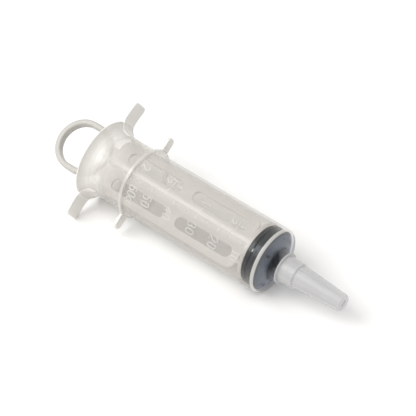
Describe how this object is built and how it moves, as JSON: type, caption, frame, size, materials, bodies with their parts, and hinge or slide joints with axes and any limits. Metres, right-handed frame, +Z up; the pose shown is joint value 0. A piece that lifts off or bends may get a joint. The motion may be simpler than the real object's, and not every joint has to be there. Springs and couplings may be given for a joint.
{
  "type": "piston irrigation syringe",
  "caption": "Piston irrigation syringe: flared barrel with finger wings, thumb-ring plunger, rubber stopper, tapered catheter nozzle and pull-off tip cap.",
  "frame": {"origin": "on the surface the syringe lies on, under the middle of its bounding box", "axes": "+X along the syringe from the thumb ring to the nozzle, which points 2.5 degrees down because the rim is wider than the tube; +Z up; +Y to the side of the raised finger wing"},
  "size_m": [0.1734, 0.058, 0.0418],
  "materials": {
    "barrel": "natural translucent polypropylene, softly frosted, satin gloss",
    "plunger": "natural translucent polypropylene, satin",
    "stopper": "smooth dark grey rubber with a silicone sheen",
    "tip_cap": "cooler white translucent polypropylene, satin"
  },
  "bodies": {
    "barrel_body": {"barrel": "barrel"},
    "stopper_body": {"stopper": "stopper"},
    "plunger_body": {"plunger": "plunger"},
    "cap_body": {"tip_cap": "tip_cap"}
  },
  "joints": [
    {"name": "plunger_draw", "type": "slide", "parent": "barrel_body", "child": "stopper_body", "axis": [-0.999, 0, 0.0438], "range_m": [0, 0.08]},
    {"name": "rod_turn", "type": "hinge", "parent": "stopper_body", "child": "plunger_body", "pos_m": [0.04099, 0, 0.01656], "axis": [0.999, 0, -0.0438], "continuous": true},
    {"name": "cap_pull", "type": "slide", "parent": "barrel_body", "child": "cap_body", "axis": [0.999, 0, -0.0438], "range_m": [0, 0.045]}
  ]
}
